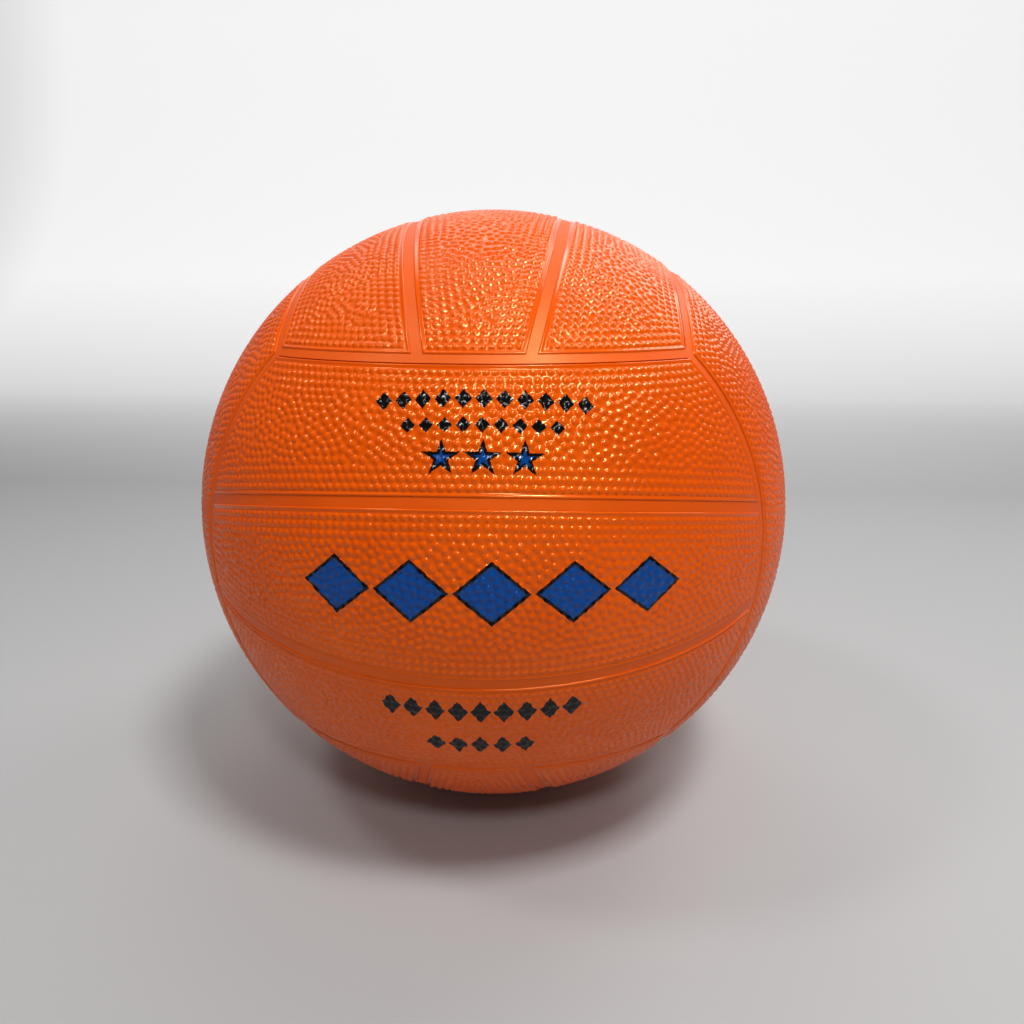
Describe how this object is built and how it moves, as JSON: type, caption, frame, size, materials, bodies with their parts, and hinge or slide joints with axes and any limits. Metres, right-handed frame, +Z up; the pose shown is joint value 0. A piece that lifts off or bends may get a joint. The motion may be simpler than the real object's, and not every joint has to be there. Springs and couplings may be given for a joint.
{
  "type": "netball",
  "caption": "Round pebbled rubber netball with ribbed strip panels on a ridged carcass, over a wound bladder with a push-in plug valve.",
  "frame": {"origin": "the ball's centre", "axes": "+Z up, -Y towards the middle panel of the front face, +Y out along the valve, +X to the right seen from the front"},
  "size_m": [0.2218, 0.2217, 0.2218],
  "materials": {
    "cover_rubber": "pebbled satin orange rubber",
    "carcass_rubber": "smooth satin orange rubber",
    "winding_thread": "wound nylon thread set in latex",
    "bladder_rubber": "dull black butyl rubber",
    "boot_rubber": "smooth satin orange rubber",
    "plug_rubber": "satin black butyl rubber"
  },
  "bodies": {
    "ball": {"front_lower_panel": "cover_rubber", "front_middle_panel": "cover_rubber", "front_upper_panel": "cover_rubber", "back_lower_panel": "cover_rubber", "back_middle_panel": "cover_rubber", "back_upper_panel": "cover_rubber", "top_left_panel": "cover_rubber", "top_middle_panel": "cover_rubber", "top_right_panel": "cover_rubber", "bottom_left_panel": "cover_rubber", "bottom_middle_panel": "cover_rubber", "bottom_right_panel": "cover_rubber", "right_front_panel": "cover_rubber", "right_middle_panel": "cover_rubber", "right_rear_panel": "cover_rubber", "left_front_panel": "cover_rubber", "left_middle_panel": "cover_rubber", "left_rear_panel": "cover_rubber", "carcass": "carcass_rubber", "nylon_winding": "winding_thread", "bladder": "bladder_rubber", "valve_boot": "boot_rubber"},
    "plug": {"valve_plug": "plug_rubber"}
  },
  "joints": [
    {"name": "plug_pull", "type": "slide", "parent": "ball", "child": "plug", "axis": [0, 1, 0], "range_m": [0, 0.03]}
  ]
}
